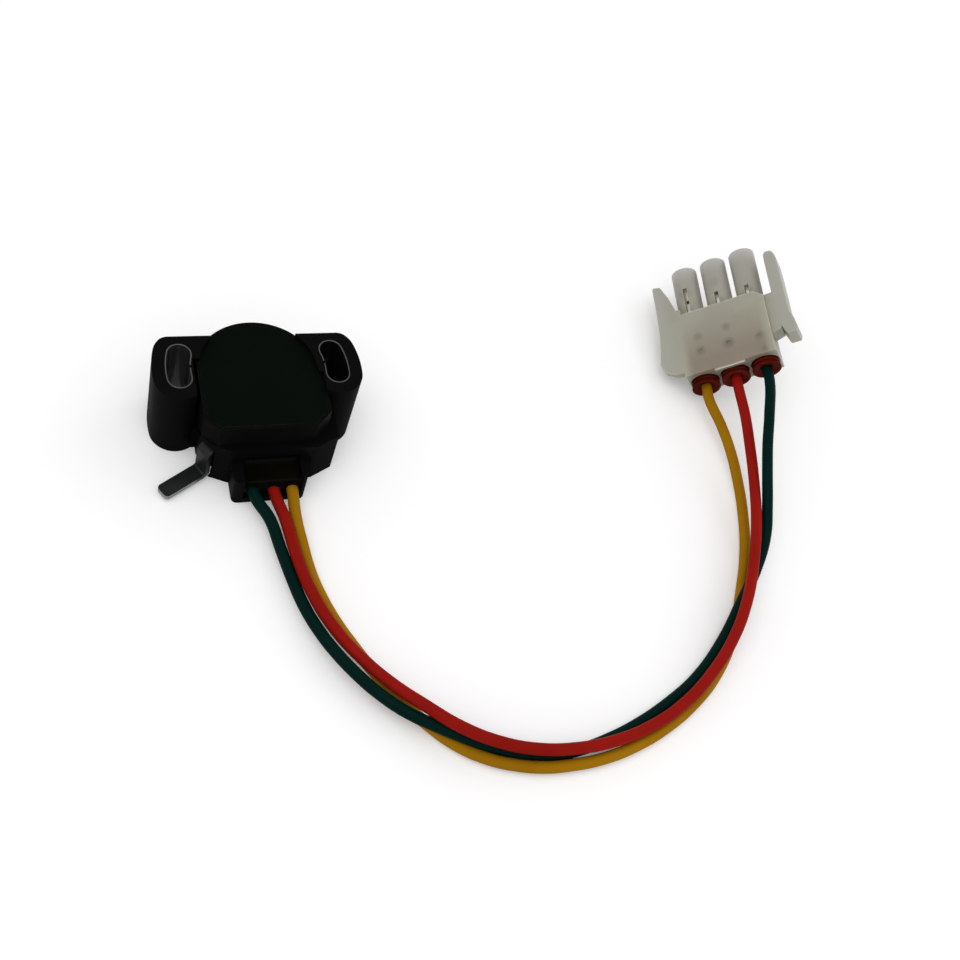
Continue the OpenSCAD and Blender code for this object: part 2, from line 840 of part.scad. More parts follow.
// Crimped socket contact: barrel on the lead's end and a tubular mating end
module contact(row) {
    wall = 0.3;
    body = silo_bore / 2 - 0.1;
    color(tin)
    plug_place()
        translate([row * circuit, 0, 0])
            rotate([-90, 0, 0])
                rotate_extrude()
                    polygon([
                        [0, contact_rear], [1.2, contact_rear], [1.2, 10.4], [body, 11],
                        [body, block_front + 5.5], [body - wall, block_front + 5.5],
                        [body - wall, 12.5], [0, 12.5]
                    ]);
}

module contact_left() { contact(-1); }
module contact_middle() { contact(0); }
module contact_right() { contact(1); }

housing();
cover();
sleeve_left();
sleeve_right();
element_board();
resistive_track();
collector_track();
terminal_green();
terminal_red();
terminal_yellow();
potting();
bearing_bush();
thrust_washer();
rotor();
lever();
wiper_contact();
return_spring();
lead_green();
lead_red();
lead_yellow();
plug_housing();
seal_left();
seal_middle();
seal_right();
contact_left();
contact_middle();
contact_right();
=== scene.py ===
"""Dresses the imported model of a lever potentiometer: moulded body, lever, three leads and in-line plug."""

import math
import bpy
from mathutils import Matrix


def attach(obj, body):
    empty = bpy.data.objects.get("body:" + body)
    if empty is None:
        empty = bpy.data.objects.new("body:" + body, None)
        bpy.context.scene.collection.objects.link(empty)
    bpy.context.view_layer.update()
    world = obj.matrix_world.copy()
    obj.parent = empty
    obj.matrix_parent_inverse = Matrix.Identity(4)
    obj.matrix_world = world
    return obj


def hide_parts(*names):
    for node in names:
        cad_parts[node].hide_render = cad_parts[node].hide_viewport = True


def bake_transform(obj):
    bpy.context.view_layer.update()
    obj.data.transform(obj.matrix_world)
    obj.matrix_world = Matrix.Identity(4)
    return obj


bl_info = {
    "name": "Lever potentiometer",
    "version": (1, 0, 0),
    "blender": (4, 5, 0),
    "location": "View3D > Sidebar > Potentiometer",
    "description": "Moulded body, sprung lever, three leads and an in-line plug round the packed model",
    "category": "Add Mesh",
}

import bpy
from bpy.props import FloatProperty, FloatVectorProperty, IntProperty, PointerProperty
from mathutils import Matrix, Vector

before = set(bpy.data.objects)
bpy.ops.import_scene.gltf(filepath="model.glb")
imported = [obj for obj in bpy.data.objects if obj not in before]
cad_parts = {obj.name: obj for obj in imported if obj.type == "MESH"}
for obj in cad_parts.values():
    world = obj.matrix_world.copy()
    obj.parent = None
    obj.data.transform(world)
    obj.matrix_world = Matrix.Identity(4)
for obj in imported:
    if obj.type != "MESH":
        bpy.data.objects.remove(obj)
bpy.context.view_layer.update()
MM = 0.001

# Camera fitted to the photograph, in metres and degrees
EYE = (-0.040027, -0.128234, 0.190689)
EYE_AZIMUTH = 35.889
EYE_ELEVATION = 53.979
EYE_ROLL = 26.465
LENS = 46.875
SENSOR = 36

# The plug's place, in millimetres and degrees, as in the part's source
PLUG_AT = (98.43, -1.4, 8.747)
PLUG_HEADING = -10.95
PLUG_TILT = 40.8
PLUG_PITCH = 4.9
CIRCUIT = 6.35
BLOCK_SIDE = 9.4
BLOCK_TOP = 4.2
BLOCK_LOW = -3.6
BLOCK_REAR = 1.7
BLOCK_FRONT = 16.6
SILO_TIP = 29
SILO_BORE = 1.75
SEAL_BORE = 2.8
SEAL_FLANGE = 2.95
SEAL_DEPTH = 7
SILO_TOP = 2.7
# Soft shades where the contacts are seen through the silos: across, along, radius and share
SHADES = (
    (-6.35, 18.4, 1.5, 0.3), (-6.35, 22.4, 1.9, 0.3), (0, 17.8, 2, 0.35), (0, 23, 1.7, 0.15),
    (6.35, 17.7, 1.9, 0.35),
)
# Windows over the contacts' tangs, each with a spot of painted shade: place across and along the plug, half
# size and depth
WINDOWS = (
    (-5.3, 6.6, 0.45, 0.09), (-5.3, 10.1, 0.4, 0.05), (0.6, 6.4, 0.5, 0.12), (0.7, 10.3, 0.4, 0.05),
    (6.9, 5.9, 0.4, 0.07), (7.3, 2.6, 0.3, 0.04),
)

# The lever's direction in degrees, and where its free arm and its rounded tip start along it
LEVER_ANGLE = 210.6
LEVER_LEG = 15.5
LEVER_TIP = 21
# Web that closes the gap between the left ear and the body, and the body's foot under the lever's leg
EAR_WEB = ((-11.3, -5.1, 0), (-10.3, 2.8, 6))
FOOT = (
    (-7.2, -9.9), (-7.9, -9.2), (-8.4, -10.3), (-8.55, -10.9), (-8.78, -11.2), (-9, -11.42),
    (-8.47, -11.67), (-8, -11.8),
)
FOOT_TOP = 0.4
# Open seam of a sleeve, on the right ear
SEAM_AT = (11.5, 0.97)
SEAM = 0.5
# Inner walls of the sleeves: the left one painted light, the right one painted shade
PAINTED_SLEEVE_BORES = {"left": (0.32, 0.32, 0.31), "right": (0.08, 0.08, 0.077)}

# Leads: where they leave the sealing compound, and their routes in millimetres
LEAD_Z = 3
LEAD_START = -14.6
COMPOUND_LOW = (-3.8, -16.7, 1.4)
COMPOUND_HIGH = (6.3, -12.1, 5.9)
OUTLET_END = -17.5
LEADS = {
    "green": {
        "x": -2, "row": 1, "seal": "right", "length": 0.1873,
        "route": [
            (0.1, -22.5, 2.6), (1.1, -28.1, 2.2), (2.05, -33.7, 2.2), (3.15, -39.1, 2.4), (4.75, -44.2, 2.9),
            (6.9, -48.8, 3.2), (9.6, -53, 3.2), (12.7, -56.9, 3.2), (16.2, -60.3, 3.2), (20.2, -63.2, 3.3),
            (24.8, -65.7, 2.9), (29.8, -67.9, 1.9), (35.6, -69.9, 1.2), (40.6, -70.7, 1.1),
            (45.5, -70.4, 1.1),
            (51.1, -69.3, 1.1), (57.1, -67.5, 1.1), (64.2, -64.5, 1.1), (71.5, -60.4, 1.1), (78, -54.9, 2.2),
            (84.6, -47.6, 3.3), (90.1, -41.4, 3.6), (93.8, -35.4, 4.9), (95.3, -29.9, 6.9), (96.4, -24.4, 9),
            (97.8, -18.7, 10.8), (100, -12.5, 12.1),
        ],
    },
    "red": {
        "x": 1.6, "row": 0, "seal": "middle", "length": 0.1835,
        "route": [
            (2.6, -22.7, 3), (3.4, -30.4, 3.1), (4.8, -37.7, 3.4), (7.2, -44.3, 3.5), (10.7, -50.1, 3.4),
            (14.8, -55.4, 3.7), (19.4, -60.3, 4.5), (24.5, -65, 5.05), (30.6, -68.1, 4.2), (36.8, -70, 3.7),
            (43.6, -70.8, 3.4), (51, -70.5, 3.3), (58.9, -68.7, 3.1), (66.4, -65.5, 3.2), (73, -61.1, 3.8),
            (78.9, -55.6, 4.9), (84, -48.9, 5.7), (88.3, -41.2, 6), (91.8, -33.1, 6.4), (94.3, -24.7, 7),
            (96.2, -16, 7.8), (97.4, -9.6, 8.3),
        ],
    },
    "yellow": {
        "x": 4.8, "row": -1, "seal": "left", "length": 0.1853,
        "route": [
            (4.7, -22, 2.3), (5.1, -27.5, 1.7), (5.7, -32.8, 1.2), (6.7, -37.3, 1.1), (8.3, -42.2, 1.1),
            (10.5, -47.1, 1.1), (13.1, -52.1, 1.1), (16.3, -57.3, 1.1), (20, -62.2, 1.1), (24.2, -66.5, 1.1),
            (28.8, -69.5, 1.1), (33.6, -71.4, 1.1), (38.5, -72.5, 1.1), (43.8, -72.8, 1.1), (49.4, -72.5, 1.1),
            (55.3, -71.3, 1.1), (61.9, -69, 1.1), (69, -65.3, 1.1), (75.7, -60.2, 1.1), (81.6, -53.2, 1.1),
            (86.7, -44.5, 1.1), (90.5, -36.4, 1.4), (92.7, -28.2, 2.2), (93.7, -21.8, 2.9),
            (94.2, -15.3, 3.6),
            (94.1, -9.2, 4),
        ],
    },
}
LEAD_ORDER = ("green", "red", "yellow")
SEAL_ROWS = {"left": -1, "middle": 0, "right": 1}


def plug_matrix():
    """The plug's place as a matrix in metres."""
    return (
        Matrix.Translation(Vector(PLUG_AT) * MM)
        @ Matrix.Rotation(math.radians(PLUG_HEADING), 4, "Z")
        @ Matrix.Rotation(math.radians(-PLUG_TILT), 4, "Y")
        @ Matrix.Rotation(math.radians(PLUG_PITCH), 4, "X")
    )


def on_plug(x, y, z):
    """A point of the plug, given in its own millimetres, in metres in the row frame."""
    return plug_matrix() @ (Vector((x, y, z)) * MM)


# Small modelling helpers around Blender's own tools


def deselect():
    """Leaves nothing selected, in object mode."""
    if bpy.context.mode != "OBJECT":
        bpy.ops.object.mode_set(mode="OBJECT")
    bpy.ops.object.select_all(action="DESELECT")


def take(piece):
    """Selects one object alone and makes it active."""
    deselect()
    piece.select_set(True)
    bpy.context.view_layer.objects.active = piece


def select_faces(piece, wanted):
    """In face mode, selects the faces for which wanted(face) is true."""
    take(piece)
    bpy.ops.object.mode_set(mode="EDIT")
    bpy.ops.mesh.select_mode(type="FACE")
    bpy.ops.mesh.select_all(action="DESELECT")
    bpy.ops.object.mode_set(mode="OBJECT")
    for face in piece.data.polygons:
        face.select = bool(wanted(face))
    bpy.ops.object.mode_set(mode="EDIT")


def tidy_mesh(piece, gap=0.000002, flat=0.6):
    """Merges doubles, joins triangles that lie in one plane and turns the faces outwards."""
    take(piece)
    bpy.ops.object.mode_set(mode="EDIT")
    bpy.ops.mesh.select_all(action="SELECT")
    bpy.ops.mesh.remove_doubles(threshold=gap)
    bpy.ops.mesh.dissolve_limited(angle_limit=math.radians(flat))
    bpy.ops.mesh.normals_make_consistent(inside=False)
    bpy.ops.object.mode_set(mode="OBJECT")


def copy_of(node, name):
    """A merged copy of a CAD node, to round its edges without touching the node."""
    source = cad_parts[node]
    piece = bpy.data.objects.new(name, source.data.copy())
    bpy.context.scene.collection.objects.link(piece)
    piece.data.materials.clear()
    tidy_mesh(piece)
    return piece


def prism(name, outline, low, high):
    """A solid with a flat outline in millimetres, pulled up from low to high."""
    deselect()
    bpy.ops.mesh.primitive_circle_add(vertices=len(outline), radius=MM, fill_type="NGON")
    piece = bpy.context.active_object
    piece.name = name
    for vertex, (x, y) in zip(piece.data.vertices, outline):
        vertex.co = Vector((x, y, low)) * MM
    bpy.ops.object.mode_set(mode="EDIT")
    bpy.ops.mesh.select_all(action="SELECT")
    bpy.ops.mesh.extrude_region_move(TRANSFORM_OT_translate={"value": (0, 0, (high - low) * MM)})
    bpy.ops.mesh.select_all(action="SELECT")
    bpy.ops.mesh.normals_make_consistent(inside=False)
    bpy.ops.object.mode_set(mode="OBJECT")
    return piece


def rod(name, x, start, end, radius, sides=48):
    """A cylinder along the plug's own mating axis, in millimetres."""
    deselect()
    bpy.ops.mesh.primitive_cylinder_add(
        vertices=sides, radius=radius * MM, depth=(end - start) * MM,
        location=(x * MM, (start + end) / 2 * MM, 0), rotation=(-math.pi / 2, 0, 0),
    )
    piece = bpy.context.active_object
    piece.name = name
    bpy.ops.object.transform_apply(location=True, rotation=True, scale=True)
    return piece


def cone(name, x, start, end, first, last, sides=48):
    """A cone along the plug's own mating axis, from radius first to radius last, in millimetres."""
    deselect()
    bpy.ops.mesh.primitive_cone_add(
        vertices=sides, radius1=first * MM, radius2=last * MM, depth=(end - start) * MM,
        location=(x * MM, (start + end) / 2 * MM, 0), rotation=(-math.pi / 2, 0, 0),
    )
    piece = bpy.context.active_object
    piece.name = name
    bpy.ops.object.transform_apply(location=True, rotation=True, scale=True)
    return piece


def brick(name, low, high):
    """A box between two corners in millimetres."""
    deselect()
    low, high = Vector(low), Vector(high)
    bpy.ops.mesh.primitive_cube_add(size=1, location=(low + high) / 2 * MM, scale=(high - low) * MM)
    piece = bpy.context.active_object
    piece.name = name
    bpy.ops.object.transform_apply(location=True, rotation=True, scale=True)
    return piece


def turned(name, profile, steps=48):
    """A ring or rod turned round the plug's own mating axis from (radius, place along it) points."""
    deselect()
    bpy.ops.mesh.primitive_circle_add(vertices=len(profile), radius=MM, fill_type="NOTHING")
    piece = bpy.context.active_object
    piece.name = name
    for vertex, (radius, along) in zip(piece.data.vertices, profile):
        vertex.co = Vector((radius, along, 0)) * MM
    bpy.ops.object.mode_set(mode="EDIT")
    bpy.ops.mesh.select_all(action="SELECT")
    bpy.ops.mesh.spin(
        steps=steps, angle=math.tau, use_auto_merge=True, center=(0, 0, 0), axis=(0, 1, 0)
    )
    bpy.ops.mesh.select_all(action="SELECT")
    bpy.ops.mesh.remove_doubles(threshold=0.000001)
    bpy.ops.mesh.normals_make_consistent(inside=False)
    bpy.ops.object.mode_set(mode="OBJECT")
    return piece


def join_shape(piece, other, operation):
    """Adds other to piece, or cuts it out, and removes other."""
    take(piece)
    modifier = piece.modifiers.new("Shape", "BOOLEAN")
    modifier.operation = operation
    modifier.solver = "EXACT"
    modifier.object = other
    bpy.ops.object.modifier_apply(modifier=modifier.name)
    bpy.data.objects.remove(other)


def round_edges(piece, width, segments=2, angle=35):
    """Rounds the edges that are sharper than angle by width millimetres, and marks them for rubbed wear with a
    painted highlight.
    """
    take(piece)
    piece.data.materials.clear()
    for index in range(2):
        piece.data.materials.append(None)
    modifier = piece.modifiers.new("Rounding", "BEVEL")
    modifier.material = 1
    modifier.width = width * MM
    modifier.segments = segments
    modifier.limit_method = "ANGLE"
    modifier.angle_limit = math.radians(angle)
    modifier.miter_outer = "MITER_ARC"
    bpy.ops.object.modifier_apply(modifier=modifier.name)
    marks = piece.data.attributes.new("rubbed", "FLOAT", "FACE")
    for mark, face in zip(marks.data, piece.data.polygons):
        mark.value = face.material_index
        face.material_index = 0


def smooth(piece, angle=35):
    """Shades gentle edges smooth and weights the normals by face size."""
    take(piece)
    bpy.ops.object.shade_smooth_by_angle(angle=math.radians(angle))
    modifier = piece.modifiers.new("Even shading", "WEIGHTED_NORMAL")
    modifier.keep_sharp = True
    bpy.ops.object.modifier_apply(modifier=modifier.name)


def into_plug(piece):
    """Brings a copy of one of the plug's nodes from its place into the plug's own frame."""
    take(piece)
    piece.matrix_world = plug_matrix().inverted()
    bpy.ops.object.transform_apply(location=True, rotation=True, scale=True)


def set_in_plug(piece, x=0):
    """Moves a piece made in the plug's own place onto the plug."""
    take(piece)
    piece.matrix_world = plug_matrix() @ Matrix.Translation((x * MM, 0, 0))
    bpy.ops.object.transform_apply(location=True, rotation=True, scale=True)


def dress(piece, material, body, nodes=()):
    """Gives a finished piece its material and body, and hides the CAD nodes that it stands for."""
    if material is not None:
        piece.data.materials.clear()
        piece.data.materials.append(material)
    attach(piece, body)
    if nodes:
        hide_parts(*nodes)
    return piece


# Materials


def new_group(name, inputs, outputs):
    """An empty shader node group with named sockets, with its input and output nodes."""
    tree = bpy.data.node_groups.new(name, "ShaderNodeTree")
    for label, kind, value in inputs:
        socket = tree.interface.new_socket(name=label, in_out="INPUT", socket_type=kind)
        if value is not None:
            socket.default_value = value
    for label, kind in outputs:
        tree.interface.new_socket(name=label, in_out="OUTPUT", socket_type=kind)
    return tree, tree.nodes.new("NodeGroupInput"), tree.nodes.new("NodeGroupOutput")


def add_noise(tree, vector, scale, detail=3.0):
    """A noise texture in a node tree, on the given vector, at a socket's or number's scale."""
    noise = tree.nodes.new("ShaderNodeTexNoise")
    noise.inputs["Detail"].default_value = detail
    tree.links.new(vector, noise.inputs["Vector"])
    if isinstance(scale, (int, float)):
        noise.inputs["Scale"].default_value = scale
    else:
        tree.links.new(scale, noise.inputs["Scale"])
    return noise.outputs["Fac"]


def add_range(tree, value, low, high, to_low, to_high):
    """Maps a value from one range onto another, clamped."""
    node = tree.nodes.new("ShaderNodeMapRange")
    tree.links.new(value, node.inputs["Value"])
    for label, end in (("From Min", low), ("From Max", high), ("To Min", to_low), ("To Max", to_high)):
        if isinstance(end, (int, float)):
            node.inputs[label].default_value = end
        else:
            tree.links.new(end, node.inputs[label])
    return node.outputs["Result"]


def add_math(tree, operation, first, second):
    """A math node on two sockets or numbers."""
    node = tree.nodes.new("ShaderNodeMath")
    node.operation = operation
    for place, value in enumerate((first, second)):
        if isinstance(value, (int, float)):
            node.inputs[place].default_value = value
        else:
            tree.links.new(value, node.inputs[place])
    return node.outputs["Value"]


def grain_group():
    """Fine and coarse unevenness of a moulded or rolled surface, as a height."""
    name = "Surface grain"
    if name in bpy.data.node_groups:
        return bpy.data.node_groups[name]
    tree, start, end = new_group(
        name,
        [
            ("Vector", "NodeSocketVector", None),
            ("Fine Scale", "NodeSocketFloat", 6000.0),
            ("Coarse Scale", "NodeSocketFloat", 900.0),
            ("Coarse Share", "NodeSocketFloat", 0.5),
        ],
        [("Height", "NodeSocketFloat")],
    )
    fine = add_noise(tree, start.outputs["Vector"], start.outputs["Fine Scale"])
    coarse = add_noise(tree, start.outputs["Vector"], start.outputs["Coarse Scale"], 1.0)
    mix = tree.nodes.new("ShaderNodeMix")
    tree.links.new(start.outputs["Coarse Share"], mix.inputs[0])
    tree.links.new(fine, mix.inputs[2])
    tree.links.new(coarse, mix.inputs[3])
    tree.links.new(mix.outputs[0], end.inputs["Height"])
    return tree


def handling_group():
    """Patches where a surface has been handled: a roughness and a mask."""
    name = "Handling marks"
    if name in bpy.data.node_groups:
        return bpy.data.node_groups[name]
    tree, start, end = new_group(
        name,
        [
            ("Vector", "NodeSocketVector", None),
            ("Patch Scale", "NodeSocketFloat", 180.0),
            ("Low Roughness", "NodeSocketFloat", 0.4),
            ("High Roughness", "NodeSocketFloat", 0.6),
        ],
        [("Roughness", "NodeSocketFloat"), ("Mask", "NodeSocketFloat")],
    )
    patches = add_noise(tree, start.outputs["Vector"], start.outputs["Patch Scale"], 4.0)
    mask = add_range(tree, patches, 0.38, 0.66, 0.0, 1.0)
    rough = add_range(
        tree, mask, 0.0, 1.0, start.outputs["Low Roughness"], start.outputs["High Roughness"]
    )
    tree.links.new(rough, end.inputs["Roughness"])
    tree.links.new(mask, end.inputs["Mask"])
    return tree


def rub_and_highlight_group():
    """Where rounded edges are rubbed and carry a painted highlight, as a mask."""
    name = "Edge rub"
    if name in bpy.data.node_groups:
        return bpy.data.node_groups[name]
    tree, start, end = new_group(
        name,
        [("Vector", "NodeSocketVector", None), ("Break-up Scale", "NodeSocketFloat", 700.0)],
        [("Mask", "NodeSocketFloat")],
    )
    edges = tree.nodes.new("ShaderNodeAttribute")
    edges.attribute_name = "rubbed"
    broken = add_noise(tree, start.outputs["Vector"], start.outputs["Break-up Scale"])
    kept = add_range(tree, broken, 0.4, 0.6, 0.2, 1.0)
    tree.links.new(add_math(tree, "MULTIPLY", edges.outputs["Fac"], kept), end.inputs["Mask"])
    return tree


def add_group(material, tree, **values):
    """Places a node group in a material, reading Object coordinates, with its own values."""
    nodes = material.node_tree.nodes
    place = nodes.get("Place") or nodes.new("ShaderNodeTexCoord")
    place.name = "Place"
    node = nodes.new("ShaderNodeGroup")
    node.node_tree = tree
    material.node_tree.links.new(place.outputs["Object"], node.inputs["Vector"])
    for label, value in values.items():
        node.inputs[label.replace("_", " ")].default_value = value
    return node


def new_material(name):
    """A material with its Principled shader."""
    material = bpy.data.materials.new(name)
    material.use_nodes = True
    return material, material.node_tree.nodes["Principled BSDF"]


def surface(
    name, colour, worn, low=0.4, high=0.6, bump=0.2, depth=0.00002, fine=6000.0, coarse=900.0,
    share=0.5, patches=180.0, rubbed=None, **shader
):
    """A finish with grain, handling marks and, where it is asked for, rubbed edges with a painted highlight.
    """
    material, principled = new_material(name)
    tree = material.node_tree
    for label, value in shader.items():
        principled.inputs[label.replace("_", " ")].default_value = value
    handling = add_group(
        material, handling_group(), Patch_Scale=patches, Low_Roughness=low, High_Roughness=high
    )
    tree.links.new(handling.outputs["Roughness"], principled.inputs["Roughness"])
    tint = tree.nodes.new("ShaderNodeMix")
    tint.data_type = "RGBA"
    tint.inputs["A"].default_value = (*colour, 1)
    tint.inputs["B"].default_value = (*worn, 1)
    tree.links.new(handling.outputs["Mask"], tint.inputs["Factor"])
    shade = tint.outputs["Result"]
    if rubbed:
        rub_and_highlight = add_group(material, rub_and_highlight_group())
        edge = tree.nodes.new("ShaderNodeMix")
        edge.data_type = "RGBA"
        tree.links.new(rub_and_highlight.outputs["Mask"], edge.inputs["Factor"])
        tree.links.new(shade, edge.inputs["A"])
        edge.inputs["B"].default_value = (*rubbed, 1)
        shade = edge.outputs["Result"]
    tree.links.new(shade, principled.inputs["Base Color"])
    grain = add_group(material, grain_group(), Fine_Scale=fine, Coarse_Scale=coarse, Coarse_Share=share)
    relief = tree.nodes.new("ShaderNodeBump")
    relief.inputs["Strength"].default_value = bump
    relief.inputs["Distance"].default_value = depth
    tree.links.new(grain.outputs["Height"], relief.inputs["Height"])
    tree.links.new(relief.outputs["Normal"], principled.inputs["Normal"])
    return material


def place_on_plug(material):
    """Coordinates in the plug's own frame, made from the piece's Object coordinates."""
    tree = material.node_tree
    place = tree.nodes.get("On plug")
    if place is None:
        place = tree.nodes.new("ShaderNodeMapping")
        place.name = "On plug"
        place.vector_type = "TEXTURE"
        place.inputs["Location"].default_value = Vector(PLUG_AT) * MM
        place.inputs["Rotation"].default_value = plug_matrix().to_euler("XYZ")
        tree.links.new(tree.nodes["Place"].outputs["Object"], place.inputs["Vector"])
    return place.outputs["Vector"]


def mix_over(material, colour, factor):
    """Mixes a colour over a finish by a factor."""
    tree = material.node_tree
    principled = tree.nodes["Principled BSDF"]
    shade = principled.inputs["Base Color"].links[0].from_socket
    mix = tree.nodes.new("ShaderNodeMix")
    mix.data_type = "RGBA"
    tree.links.new(factor, mix.inputs["Factor"])
    tree.links.new(shade, mix.inputs["A"])
    mix.inputs["B"].default_value = (*colour, 1)
    tree.links.new(mix.outputs["Result"], principled.inputs["Base Color"])


def tint_on_plug(material, colour, share, along=None, across=None, up=None):
    """Mixes in a colour; each range given runs from all of its share to none, in millimetres."""
    tree = material.node_tree
    axes = tree.nodes.new("ShaderNodeSeparateXYZ")
    tree.links.new(place_on_plug(material), axes.inputs["Vector"])
    sides = add_math(tree, "ABSOLUTE", axes.outputs["X"], 0.0)
    factor = share
    for socket, fade in ((axes.outputs["Y"], along), (sides, across), (axes.outputs["Z"], up)):
        if fade:
            part = add_range(tree, socket, fade[0] * MM, fade[1] * MM, 1.0, 0.0)
            factor = add_math(tree, "MULTIPLY", part, factor)
    mix_over(material, colour, factor)


def spot_on_plug(material, colour, centre, radius, share):
    """Mixes a soft spot of a colour into a finish round a point of the plug."""
    tree = material.node_tree
    distance = tree.nodes.new("ShaderNodeVectorMath")
    distance.operation = "DISTANCE"
    tree.links.new(place_on_plug(material), distance.inputs[0])
    distance.inputs[1].default_value = Vector(centre) * MM
    factor = add_range(tree, distance.outputs["Value"], 0.35 * radius * MM, radius * MM, share, 0.0)
    mix_over(material, colour, factor)


def darker(colour, share):
    """A colour at a share of its brightness."""
    return tuple(channel * share for channel in colour)


# Settings


def colour_property(name, text, value):
    """A colour that the user can change."""
    return FloatVectorProperty(
        name=name, description=text, default=value, subtype="COLOR", size=3, min=0, max=1
    )


class BodySettings(bpy.types.PropertyGroup):
    edge: FloatProperty(
        name="Edge rounding", description="Radius of the moulding's edges, in millimetres",
        default=0.22, min=0.05, max=0.4,
    )
    plastic: colour_property("Plastic", "Colour of the moulded body", (0.0024, 0.0025, 0.0024))
    cover: colour_property("Cover", "Colour of the flat cover", (0.0019, 0.0034, 0.0022))
    compound: colour_property("Compound", "Colour of the sealing compound", (0.0016, 0.0015, 0.0006))


class MetalSettings(bpy.types.PropertyGroup):
    sleeve: colour_property("Sleeves", "Colour of the rolled steel sleeves", (0.095, 0.095, 0.092))
    brass: colour_property("Brass", "Colour of the wiper's brass", (0.6, 0.42, 0.16))
    lever: colour_property("Lever", "Colour of the lever's flat sides", (0.011, 0.013, 0.012))
    sheared: colour_property("Sheared edge", "Colour of the lever's cut edges", (0.3, 0.3, 0.295))


class LeadSettings(bpy.types.PropertyGroup):
    diameter: FloatProperty(
        name="Diameter", description="Outer diameter of a lead, in millimetres",
        default=2.1, min=1.8, max=2.1,
    )
    rounding: IntProperty(
        name="Rounding", description="How finely a lead is rounded", default=6, min=3, max=12
    )
    green: colour_property("Green", "Colour of the green lead", (0.0002, 0.0135, 0.0105))
    red: colour_property("Red", "Colour of the red lead", (0.293, 0.0085, 0.005))
    yellow: colour_property("Yellow", "Colour of the yellow lead", (0.36, 0.167, 0.003))


class PlugSettings(bpy.types.PropertyGroup):
    nylon: colour_property("Nylon", "Colour of the natural nylon", (0.38, 0.37, 0.297))
    rubber: colour_property("Seals", "Colour of the rubber seals", (0.1, 0.008, 0.004))
    silo: colour_property("Silos", "Colour of the nylon of the silos", (0.363, 0.347, 0.305))
    tips: colour_property("Tips", "Colour of the nylon at the tips of the silos", (0.475, 0.465, 0.45))
    blush: colour_property("Blush", "Colour of the nylon over the seals", (0.255, 0.215, 0.165))
    wings: colour_property("Wings", "Colour of the nylon of the fin and the latch", (0.4, 0.395, 0.35))
    # Painted highlight along the rear top edge of the thin ledge over the middle seal
    ledge_highlight: colour_property("Ledge", "Colour of the thin ledge over the middle seal", (0.62, 0.58, 0.54))
    # Painted shade, mixed into the nylon round the contacts in the silos and over the shallow windows
    window: colour_property("Windows", "Colour of the nylon over the contacts' tangs", (0.15, 0.13, 0.105))
    tin: colour_property("Contacts", "Colour of the tinned contacts", (0.72, 0.7, 0.6))
    edge: FloatProperty(
        name="Edge rounding", description="Radius of the plug's edges, in millimetres",
        default=0.25, min=0.05, max=0.4,
    )


class StageSettings(bpy.types.PropertyGroup):
    floor: colour_property("Floor", "Colour of the floor", (0.9, 0.9, 0.9))
    key: FloatProperty(
        name="Main lamp", description="Power of the main lamp", default=0.9, min=0, unit="POWER"
    )
    fill: FloatProperty(
        name="Side lamp", description="Power of the side lamp", default=0.4, min=0, unit="POWER"
    )
    sky: FloatProperty(
        name="Sky", description="Strength of the light from all round", default=0.72, min=0, max=2
    )


# Operators, one for each piece or group of like pieces


class AddLeads(bpy.types.Operator):
    """Lay the three leads along their routes, from the body to the plug"""

    bl_idname = "potentiometer.add_leads"
    bl_label = "Leads"

    def execute(self, context):
        settings = context.scene.potentiometer_leads
        for colour in LEAD_ORDER:
            facts = LEADS[colour]
            points = [(facts["x"], LEAD_START, LEAD_Z), (facts["x"], OUTLET_END, LEAD_Z)]
            points = [Vector(point) * MM for point in points + facts["route"]]
            points += [on_plug(facts["row"] * CIRCUIT, y, 0) for y in (-2.5, 0, SEAL_DEPTH)]
            curve = bpy.data.curves.new(f"lead_{colour}_insulation", "CURVE")
            curve.dimensions = "3D"
            curve.bevel_depth = settings.diameter / 2 * MM
            curve.bevel_resolution = settings.rounding
            curve.resolution_u = 6
            curve.use_fill_caps = True
            line = curve.splines.new("BEZIER")
            line.bezier_points.add(len(points) - 1)
            for knot, point in zip(line.bezier_points, points):
                knot.co = point
                knot.handle_left_type = "AUTO"
                knot.handle_right_type = "AUTO"
            piece = bpy.data.objects.new(curve.name, curve)
            context.scene.collection.objects.link(piece)
            shade = tuple(getattr(settings, colour))
            material = surface(
                f"{colour} insulation", shade, darker(shade, 0.82), low=0.34, high=0.48, bump=0.25,
                depth=0.00003, fine=2600.0, coarse=350.0, patches=90.0, Specular_IOR_Level=0.025,
            )
            dress(piece, material, "base", [f"lead_{colour}"])
        return {"FINISHED"}


class DeclareLeads(bpy.types.Operator):
    """An empty step, which changes nothing"""

    bl_idname = "potentiometer.declare_leads"
    bl_label = "Lead facts"

    def execute(self, context):
        return {"FINISHED"}


